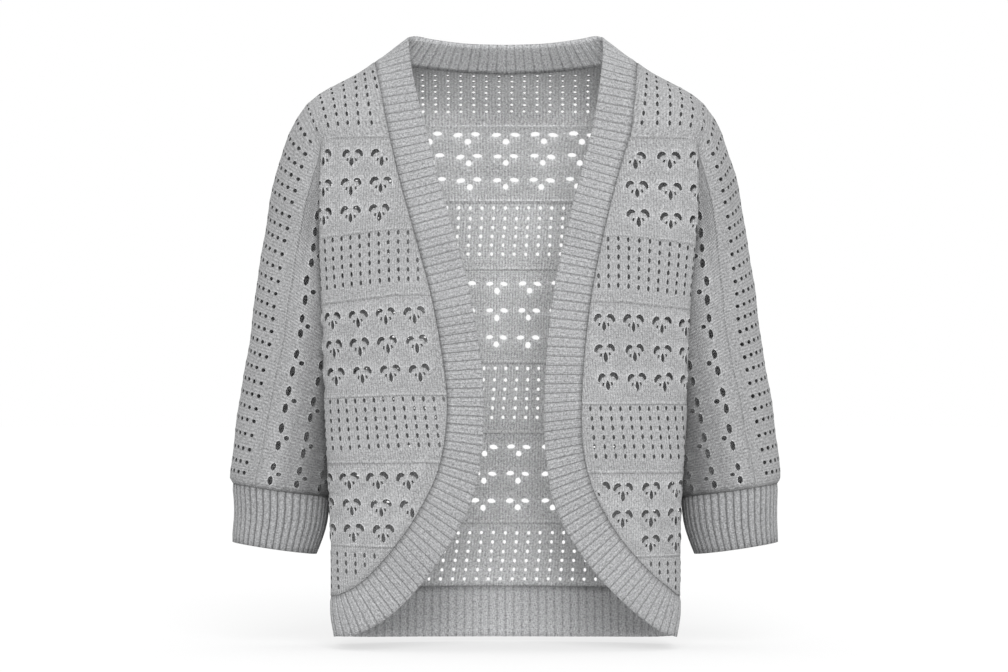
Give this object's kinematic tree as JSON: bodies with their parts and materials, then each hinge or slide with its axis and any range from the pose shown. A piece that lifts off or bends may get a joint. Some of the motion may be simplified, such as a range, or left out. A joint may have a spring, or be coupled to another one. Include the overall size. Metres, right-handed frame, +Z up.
{
  "type": "open-front knitted cardigan",
  "caption": "Open-front knitted lace cardigan with batwing sleeves, ribbed cuffs and a wide ribbed band round its curved fronts and neck.",
  "frame": {"origin": "midway between the two points where the shoulders meet the neck, where a wearer carries the garment", "axes": "+Z up along the body, +X to the wearer's left, the open front faces -Y"},
  "size_m": [0.5696, 0.2249, 0.6266],
  "materials": {
    "pointelle_knit": "matte grey heather openwork knit",
    "rib_knit": "matte grey heather ribbed knit"
  },
  "bodies": {
    "root": {"front_left": "pointelle_knit", "front_right": "pointelle_knit", "back": "pointelle_knit", "front_band": "rib_knit", "hem_rib": "rib_knit", "cuff_left": "rib_knit", "cuff_right": "rib_knit"}
  },
  "joints": []
}
